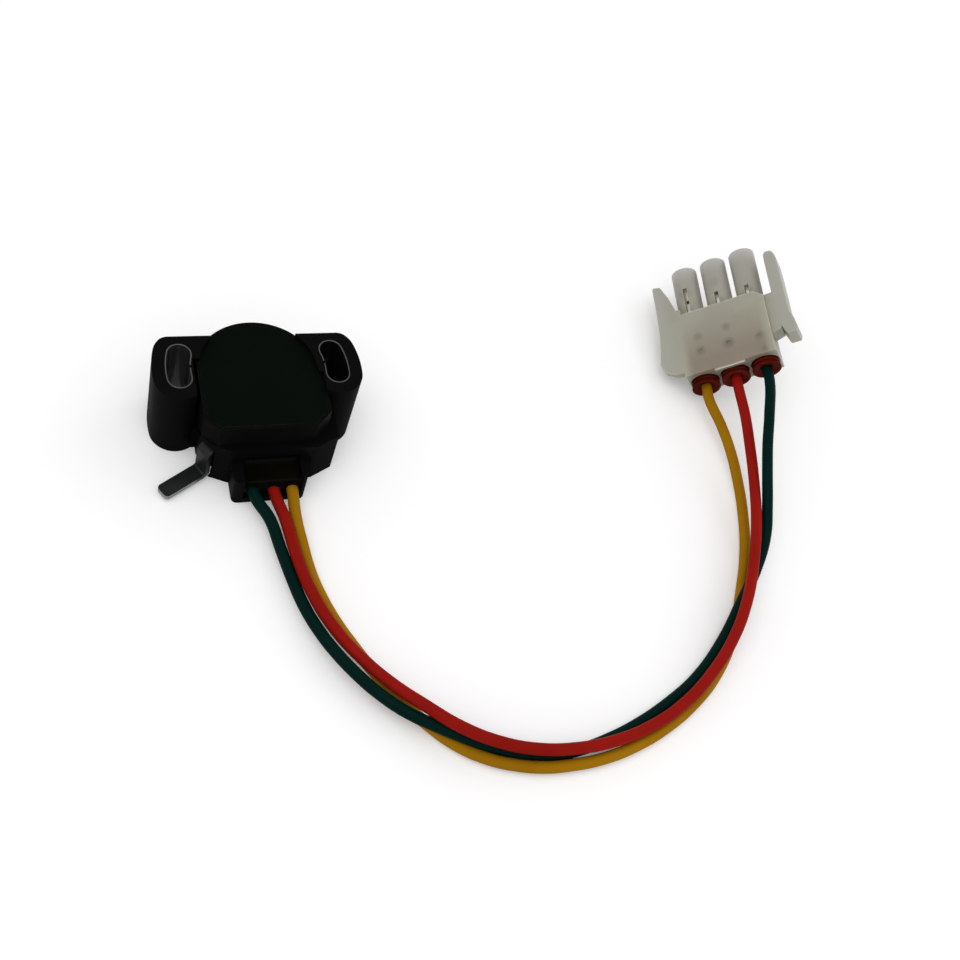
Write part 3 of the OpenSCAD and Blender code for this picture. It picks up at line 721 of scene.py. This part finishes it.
class AddBody(bpy.types.Operator):
    """Model the moulded body with its ears, and its flat cover"""

    bl_idname = "potentiometer.add_body"
    bl_label = "Moulded body"

    def execute(self, context):
        settings = context.scene.potentiometer_body
        shade = tuple(settings.plastic)
        # The rounded edges are painted five times lighter: rubbed wear and a painted highlight
        plastic = surface(
            "black moulding", shade, darker(shade, 1.25), low=0.5, high=0.62, bump=0.35,
            depth=0.00004, fine=5000.0, coarse=1400.0, patches=70.0, rubbed=darker(shade, 5),
            Specular_IOR_Level=0.015,
        )
        piece = copy_of("housing", "body_moulding")
        join_shape(piece, brick("web", *EAR_WEB), "UNION")
        join_shape(piece, prism("foot", FOOT, 0, FOOT_TOP), "UNION")
        tidy_mesh(piece)
        round_edges(piece, settings.edge)
        smooth(piece)
        dress(piece, plastic, "base", ["housing"])
        shade = tuple(settings.cover)
        # The cover's rounded edges are painted four times lighter: rubbed wear and a painted highlight
        plastic = surface(
            "black cover", shade, darker(shade, 1.25), low=0.52, high=0.66, bump=0.3,
            depth=0.00003, fine=5000.0, coarse=1100.0, patches=70.0, rubbed=darker(shade, 4),
            Specular_IOR_Level=0.01,
        )
        piece = copy_of("cover", "cover_plate")
        round_edges(piece, settings.edge)
        smooth(piece)
        dress(piece, plastic, "base", ["cover"])
        return {"FINISHED"}


class AddSleeves(bpy.types.Operator):
    """Model the two steel sleeves that line the slots"""

    bl_idname = "potentiometer.add_sleeves"
    bl_label = "Slot sleeves"

    def execute(self, context):
        shade = tuple(context.scene.potentiometer_metal.sleeve)
        steel = surface(
            "rolled steel", shade, darker(shade, 0.75), low=0.25, high=0.4, bump=0.1,
            depth=0.00001, fine=4000.0, coarse=700.0, Metallic=0.85,
        )
        for side, sign in (("left", -1), ("right", 1)):
            # Each bore gets its own colour: painted light in the left slot, painted shade in the right
            shade = PAINTED_SLEEVE_BORES[side]
            painted_bore = surface(
                f"sleeve bore {side}", shade, darker(shade, 0.8), low=0.18, high=0.26, bump=0.05,
                depth=0.00001, fine=4000.0, coarse=700.0, Metallic=0.95,
            )
            piece = copy_of(f"sleeve_{side}", f"sleeve_{side}_rolled")
            x, y = SEAM_AT
            low, high = sorted((sign * (x - 0.3), sign * (x + 0.5)))
            seam = brick("seam", (low, y - SEAM / 2, -1), (high, y + SEAM / 2, 18))
            join_shape(piece, seam, "DIFFERENCE")
            round_edges(piece, 0.1)
            smooth(piece)
            dress(piece, steel, "base", [f"sleeve_{side}"])
            piece.data.materials.append(painted_bore)
            for face in piece.data.polygons:
                if abs(face.normal.z) < 0.3:
                    face.material_index = 1
        return {"FINISHED"}


class AddCompound(bpy.types.Operator):
    """Model the sealing compound, which creeps up the walls and round the leads"""

    bl_idname = "potentiometer.add_compound"
    bl_label = "Sealing compound"

    def execute(self, context):
        shade = tuple(context.scene.potentiometer_body.compound)
        resin = surface(
            "sealing compound", shade, darker(shade, 1.5), low=0.25, high=0.4, bump=0.3,
            depth=0.0001, fine=900.0, coarse=250.0, Specular_IOR_Level=0.03,
        )
        low, high = Vector(COMPOUND_LOW), Vector(COMPOUND_HIGH)
        piece = brick("compound_fill", low, high)
        bpy.ops.object.mode_set(mode="EDIT")
        bpy.ops.mesh.select_all(action="SELECT")
        bpy.ops.mesh.subdivide(number_cuts=20)
        bpy.ops.object.mode_set(mode="OBJECT")
        for vertex in piece.data.vertices:
            x, y, z = vertex.co / MM
            side = min(x - low.x, high.x - x)
            if z > high.z - 0.001:
                inward = min(side, high.y - y)
                vertex.co.z -= 0.5 * (1 - math.exp(-inward / 0.5)) * MM
            elif y < low.y + 0.001:
                sunk = 0.35 * (1 - math.exp(-min(side, z - low.z) / 0.4))
                for facts in LEADS.values():
                    gap = max(0, math.hypot(x - facts["x"], z - LEAD_Z) - 1.05)
                    sunk -= 0.45 * math.exp(-gap / 0.3)
                vertex.co.y += sunk * MM
        round_edges(piece, 0.1, angle=50)
        smooth(piece, 60)
        dress(piece, resin, "base", ["potting"])
        return {"FINISHED"}


class AddLever(bpy.types.Operator):
    """Model the formed steel lever with its bright cut edges"""

    bl_idname = "potentiometer.add_lever"
    bl_label = "Lever"

    def execute(self, context):
        settings = context.scene.potentiometer_metal
        shade = tuple(settings.lever)
        flat = surface(
            "lever strip", shade, darker(shade, 1.6), low=0.3, high=0.45, bump=0.15,
            depth=0.00001, fine=4000.0, coarse=500.0, Metallic=0.3, Specular_IOR_Level=0.1,
        )
        shade = tuple(settings.sheared)
        sheared = surface(
            "lever cut edge", shade, darker(shade, 0.8), low=0.25, high=0.4, bump=0.3,
            depth=0.00002, fine=5000.0, coarse=1500.0, Metallic=1.0,
        )
        turn = math.radians(LEVER_ANGLE)
        along = Vector((math.cos(turn), math.sin(turn), 0))
        across = Vector((-math.sin(turn), math.cos(turn), 0))
        tree = sheared.node_tree
        reach = tree.nodes.new("ShaderNodeVectorMath")
        reach.operation = "DOT_PRODUCT"
        tree.links.new(tree.nodes["Place"].outputs["Object"], reach.inputs[0])
        reach.inputs[1].default_value = along
        # Painted shade: up the leg, towards the body, the cut edges take the flat's dark colour
        leg = add_range(tree, reach.outputs["Value"], LEVER_LEG * MM, (LEVER_LEG + 1.5) * MM, 0.95, 0.0)
        mix_over(sheared, tuple(settings.lever), leg)
        piece = copy_of("lever", "lever_strip")
        round_edges(piece, 0.2)
        smooth(piece)
        dress(piece, flat, "swing", ["lever"])
        piece.data.materials.append(sheared)
        for face in piece.data.polygons:
            cut_side = abs(face.normal.dot(across)) > 0.3
            cut_end = face.normal.dot(along) > 0.3 and face.center.dot(along) > LEVER_TIP * MM
            if cut_side or cut_end:
                face.material_index = 1
        return {"FINISHED"}


class AddPlug(bpy.types.Operator):
    """Model the nylon plug with its silos, latches and windows"""

    bl_idname = "potentiometer.add_plug"
    bl_label = "Plug"

    def execute(self, context):
        settings = context.scene.potentiometer_plug
        shade = tuple(settings.nylon)
        nylon = surface(
            "natural nylon", shade, darker(shade, 0.9), low=0.38, high=0.5, bump=0.2,
            depth=0.00004, fine=2500.0, coarse=500.0, patches=120.0, Specular_IOR_Level=0.3,
            Subsurface_Weight=0.8, Subsurface_Radius=(1, 0.97, 0.9), Subsurface_Scale=0.0012,
        )
        side, rear = BLOCK_SIDE, BLOCK_REAR
        tint_on_plug(nylon, settings.silo, 0.9, along=(BLOCK_FRONT + 6, BLOCK_FRONT - 1))
        tint_on_plug(nylon, settings.tips, 0.9, along=(SILO_TIP, SILO_TIP - 3.5))
        tint_on_plug(
            nylon, settings.blush, 0.9, along=(rear + 2.5, rear + 13), across=(side - 2, side - 0.5)
        )
        tint_on_plug(nylon, settings.wings, 0.8, across=(side + 2.5, side + 0.3))
        # Painted highlight: a bright band along the rear top edge of the ledge over the middle seal
        tint_on_plug(
            nylon, settings.ledge_highlight, 0.8, along=(rear - 0.5, rear - 0.2), across=(2.6, 3.6),
            up=(BLOCK_TOP, BLOCK_TOP - 0.3),
        )
        # Dark parts behind the nylon seen through it, with painted shade in the silos and windows, deeper
        # windows darker
        for x, y, radius, share in SHADES:
            spot_on_plug(nylon, settings.window, (x, y, SILO_TOP), radius, share)
        for x, y, size, depth in WINDOWS:
            spot_on_plug(nylon, settings.window, (x, y, BLOCK_TOP - 0.1), 3.2 * size, 0.2 + 4 * depth)
        piece = copy_of("plug_housing", "plug_moulding")
        into_plug(piece)
        for row in SEAL_ROWS.values():
            x = row * CIRCUIT
            mouth = cone("mouth", x, SILO_TIP - 0.7, SILO_TIP + 0.3, SILO_BORE - 0.1, SILO_BORE + 0.6)
            join_shape(piece, mouth, "DIFFERENCE")
            rim = cone("rim", x, BLOCK_REAR - 0.3, BLOCK_REAR + 0.7, SEAL_BORE + 0.35, SEAL_BORE - 0.1)
            join_shape(piece, rim, "DIFFERENCE")
        for x, y, size, depth in WINDOWS:
            window = brick(
                "window", (x - size, y - size, BLOCK_TOP - depth), (x + size, y + size, BLOCK_TOP + 1)
            )
            join_shape(piece, window, "DIFFERENCE")
        for x in (-1.5, 1.5):
            pocket = brick(
                "pocket", (x * CIRCUIT - 2.1, 4.5, BLOCK_LOW - 1), (x * CIRCUIT + 2.1, 14, BLOCK_LOW + 0.6)
            )
            join_shape(piece, pocket, "DIFFERENCE")
        tidy_mesh(piece)
        round_edges(piece, settings.edge)
        smooth(piece)
        set_in_plug(piece)
        dress(piece, nylon, "base", ["plug_housing"])
        return {"FINISHED"}


class AddSeals(bpy.types.Operator):
    """Turn the three ribbed lead seals"""

    bl_idname = "potentiometer.add_seals"
    bl_label = "Lead seals"

    def execute(self, context):
        shade = tuple(context.scene.potentiometer_plug.rubber)
        rubber = surface(
            "seal rubber", shade, darker(shade, 0.6), low=0.4, high=0.55, bump=0.2,
            depth=0.00002, fine=3000.0, coarse=800.0, Specular_IOR_Level=0.02,
        )
        core = SEAL_BORE - 0.4
        profile = [(1.04, 0.75), (1.3, 0.5), (2.2, 0.3), (2.5, 0), (2.8, 0)]
        profile += [(SEAL_FLANGE, 0.15), (SEAL_FLANGE, 0.42), (2.8, 0.58)]
        for start, end in ((1.1, 1.6), (2.5, 3.1), (4.1, 4.7)):
            profile += [
                (core, start - 0.2), (core, start - 0.08), (SEAL_BORE - 0.1, start),
                (SEAL_BORE, start + 0.15), (SEAL_BORE, end - 0.15), (SEAL_BORE - 0.1, end),
                (core, end + 0.08),
            ]
        profile += [(core, 6.2), (core - 0.2, 6.4), (1.04, 6.4)]
        for place, row in SEAL_ROWS.items():
            piece = turned(f"seal_{place}_lips", profile)
            smooth(piece, 50)
            set_in_plug(piece, row * CIRCUIT)
            dress(piece, rubber, "base", [f"seal_{place}"])
        return {"FINISHED"}


class AddContacts(bpy.types.Operator):
    """Turn the three tinned contacts, with their rolled seams and locking tangs"""

    bl_idname = "potentiometer.add_contacts"
    bl_label = "Contacts"

    def execute(self, context):
        shade = tuple(context.scene.potentiometer_plug.tin)
        tin = surface(
            "tinned contact", shade, darker(shade, 0.8), low=0.2, high=0.35, bump=0.1,
            depth=0.00001, fine=4000.0, coarse=900.0, Metallic=0.35,
        )
        body = SILO_BORE - 0.1
        profile = [
            (0, SEAL_DEPTH + 0.3), (1.2, SEAL_DEPTH + 0.3), (1.25, 7.6), (1.25, 8.9), (1, 9.2), (1, 10.3),
            (1.2, 10.7), (body, 11.2), (body, 23.9), (body - 0.1, 24.2), (body - 0.3, 24.2),
            (body - 0.3, 12.5), (0, 12.5),
        ]
        for place, row in SEAL_ROWS.items():
            piece = turned(f"contact_{place}_tin", profile)
            seam = brick("seam", (-0.12, 12.7, -2), (0.12, 23, -1))
            join_shape(piece, seam, "DIFFERENCE")
            opening = brick("opening", (-0.3, 20.2, 1), (0.3, 21.2, 2))
            join_shape(piece, opening, "DIFFERENCE")
            tang = brick("tang", (-0.3, 17.9, 1.35), (0.3, 20.4, 1.6))
            for vertex in tang.data.vertices:
                if vertex.co.y < 18 * MM:
                    vertex.co.z += 0.5 * MM
            join_shape(piece, tang, "UNION")
            round_edges(piece, 0.05)
            smooth(piece)
            set_in_plug(piece, row * CIRCUIT)
            dress(piece, tin, "base", [f"contact_{place}"])
        return {"FINISHED"}


class AddSpring(bpy.types.Operator):
    """Copy the coiled return spring, which winds up between the body and the rotor, give it spring wire and
    hide its CAD node
    """

    bl_idname = "potentiometer.add_spring"
    bl_label = "Return spring"

    def execute(self, context):
        wire = surface(
            "spring wire", (0.5, 0.5, 0.52), (0.38, 0.38, 0.4), low=0.25, high=0.4, bump=0.2,
            depth=0.00001, fine=6000.0, coarse=2000.0, Metallic=1.0,
        )
        piece = copy_of("return_spring", "return_spring_wire")
        smooth(piece, 60)
        piece.data.materials.append(wire)
        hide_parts("return_spring")
        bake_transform(piece)
        return {"FINISHED"}


class FinishInside(bpy.types.Operator):
    """Give the pieces inside the body their finishes"""

    bl_idname = "potentiometer.finish_inside"
    bl_label = "Inside pieces"

    def execute(self, context):
        shade = tuple(context.scene.potentiometer_metal.brass)
        brass = surface(
            "spring brass", shade, darker(shade, 0.8), low=0.25, high=0.4, bump=0.1,
            depth=0.00001, fine=4000.0, coarse=900.0, Metallic=1.0,
        )
        bronze = surface(
            "sintered bronze", (0.36, 0.2, 0.08), (0.28, 0.15, 0.06), low=0.45, high=0.6, bump=0.5,
            depth=0.00002, fine=9000.0, coarse=3000.0, Metallic=1.0,
        )
        acetal = surface(
            "white acetal", (0.66, 0.64, 0.56), (0.58, 0.56, 0.48), low=0.35, high=0.5, bump=0.2,
            depth=0.00002, fine=3000.0, coarse=700.0, Specular_IOR_Level=0.4,
        )
        board = surface(
            "circuit board", (0.02, 0.09, 0.035), (0.016, 0.07, 0.028), low=0.3, high=0.45, bump=0.3,
            depth=0.00002, fine=4000.0, coarse=1200.0, Specular_IOR_Level=0.4,
        )
        ink = surface(
            "resistive ink", (0.012, 0.012, 0.014), (0.02, 0.02, 0.022), low=0.4, high=0.6, bump=0.3,
            depth=0.00001, fine=9000.0, coarse=2500.0, Specular_IOR_Level=0.3,
        )
        tinned = surface(
            "tinned strip", (0.55, 0.54, 0.5), (0.42, 0.41, 0.38), low=0.25, high=0.4, bump=0.1,
            depth=0.00001, fine=4000.0, coarse=900.0, Metallic=1.0,
        )
        finishes = {
            "rotor": acetal,
            "thrust_washer": acetal,
            "bearing_bush": bronze,
            "wiper_contact": brass,
            "collector_track": brass,
            "resistive_track": ink,
            "element_board": board,
            "terminal_green": tinned,
            "terminal_red": tinned,
            "terminal_yellow": tinned,
        }
        for node, finish in finishes.items():
            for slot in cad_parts[node].material_slots:
                slot.material = finish
        return {"FINISHED"}


class AddStage(bpy.types.Operator):
    """Set up the camera, the floor and the soft studio light"""

    bl_idname = "potentiometer.add_stage"
    bl_label = "Stage"

    def execute(self, context):
        scene = context.scene
        settings = scene.potentiometer_stage
        scene.view_settings.view_transform = "Standard"
        self.add_camera(scene)
        self.add_floor(settings)
        self.add_sky(scene, settings)
        self.add_lamp("Main lamp", settings.key, (-0.15, -0.1, 0.55), 0.5)
        self.add_lamp("Side lamp", settings.fill, (0.5, 0.1, 0.35), 0.5)
        return {"FINISHED"}

    def add_camera(self, scene):
        """The camera at the photograph's angle."""
        azimuth, elevation, roll = map(math.radians, (EYE_AZIMUTH, EYE_ELEVATION, EYE_ROLL))
        forward = Vector((
            math.sin(azimuth) * math.cos(elevation),
            math.cos(azimuth) * math.cos(elevation),
            -math.sin(elevation),
        ))
        level = Vector((math.cos(azimuth), -math.sin(azimuth), 0))
        upright = level.cross(forward)
        right = math.cos(roll) * level + math.sin(roll) * upright
        up = math.cos(roll) * upright - math.sin(roll) * level
        deselect()
        bpy.ops.object.camera_add()
        camera = bpy.context.active_object
        camera.name = "Camera"
        camera.matrix_world = Matrix.Translation(EYE) @ Matrix((right, up, -forward)).transposed().to_4x4()
        camera.data.lens = LENS
        camera.data.sensor_width = SENSOR
        camera.data.clip_start = 0.01
        camera.data.clip_end = 20
        scene.camera = camera

    def add_floor(self, settings):
        """A plain pale floor that shows white and keeps the shadow."""
        deselect()
        bpy.ops.mesh.primitive_plane_add(size=6, location=(0, 0, -0.00005))
        floor = bpy.context.active_object
        floor.name = "Floor"
        material, principled = new_material("pale floor")
        tree = material.node_tree
        principled.inputs["Base Color"].default_value = (*settings.floor, 1)
        principled.inputs["Roughness"].default_value = 0.9
        principled.inputs["Specular IOR Level"].default_value = 0.1
        principled.inputs["Emission Color"].default_value = (1, 1, 1, 1)
        light = tree.nodes.new("ShaderNodeLightPath")
        place = tree.nodes.new("ShaderNodeTexCoord")
        distance = tree.nodes.new("ShaderNodeVectorMath")
        distance.operation = "LENGTH"
        tree.links.new(place.outputs["Object"], distance.inputs[0])
        glow = add_range(tree, distance.outputs["Value"], 0.3, 1.2, 0.16, 0.45)
        glow = add_math(tree, "MULTIPLY", light.outputs["Is Camera Ray"], glow)
        tree.links.new(glow, principled.inputs["Emission Strength"])
        floor.data.materials.append(material)

    def add_sky(self, scene, settings):
        """A plain sky: white where it is seen, dimmer where it only lights."""
        world = bpy.data.worlds.new("Studio")
        scene.world = world
        world.use_nodes = True
        tree = world.node_tree
        background = tree.nodes["Background"]
        background.inputs["Color"].default_value = (1, 1, 1, 1)
        light = tree.nodes.new("ShaderNodeLightPath")
        seen = add_math(tree, "MAXIMUM", light.outputs["Is Camera Ray"], light.outputs["Is Glossy Ray"])
        seen = add_math(tree, "MAXIMUM", seen, light.outputs["Is Transmission Ray"])
        strength = add_range(tree, seen, 0.0, 1.0, settings.sky, 1.0)
        tree.links.new(strength, background.inputs["Strength"])

    def add_lamp(self, name, power, place, size):
        """A soft square lamp aimed at the object."""
        deselect()
        bpy.ops.object.light_add(type="AREA", location=place)
        lamp = bpy.context.active_object
        lamp.name = name
        lamp.data.energy = power
        lamp.data.size = size
        aim = Vector((0.045, -0.03, 0)) - Vector(place)
        lamp.rotation_euler = aim.to_track_quat("-Z", "Y").to_euler()


class PotentiometerPanel(bpy.types.Panel):
    """Lists the pieces of the potentiometer"""

    bl_idname = "VIEW3D_PT_potentiometer"
    bl_label = "Potentiometer"
    bl_space_type = "VIEW_3D"
    bl_region_type = "UI"
    bl_category = "Potentiometer"

    def draw(self, context):
        for attribute, kind in SETTINGS.items():
            group = getattr(context.scene, attribute)
            box = self.layout.box()
            for name in kind.__annotations__:
                box.prop(group, name)
        for operator in OPERATORS:
            self.layout.operator(operator.bl_idname)


SETTINGS = {
    "potentiometer_body": BodySettings,
    "potentiometer_metal": MetalSettings,
    "potentiometer_leads": LeadSettings,
    "potentiometer_plug": PlugSettings,
    "potentiometer_stage": StageSettings,
}
OPERATORS = (
    AddStage,
    AddLeads,
    AddBody,
    AddSleeves,
    AddCompound,
    AddLever,
    AddPlug,
    AddSeals,
    AddContacts,
    AddSpring,
    FinishInside,
    DeclareLeads,
)


def register():
    """Registers the settings, the operators and the panel."""
    for kind in (*SETTINGS.values(), *OPERATORS, PotentiometerPanel):
        bpy.utils.register_class(kind)
    for attribute, kind in SETTINGS.items():
        setattr(bpy.types.Scene, attribute, PointerProperty(type=kind))


def unregister():
    """Removes all that register added."""
    for attribute in SETTINGS:
        delattr(bpy.types.Scene, attribute)
    for kind in (PotentiometerPanel, *reversed(OPERATORS), *SETTINGS.values()):
        bpy.utils.unregister_class(kind)


def main():
    """Builds everything in order."""
    register()
    for operator in OPERATORS:
        group, name = operator.bl_idname.split(".")
        getattr(getattr(bpy.ops, group), name)()


if __name__ == "__main__":
    main()
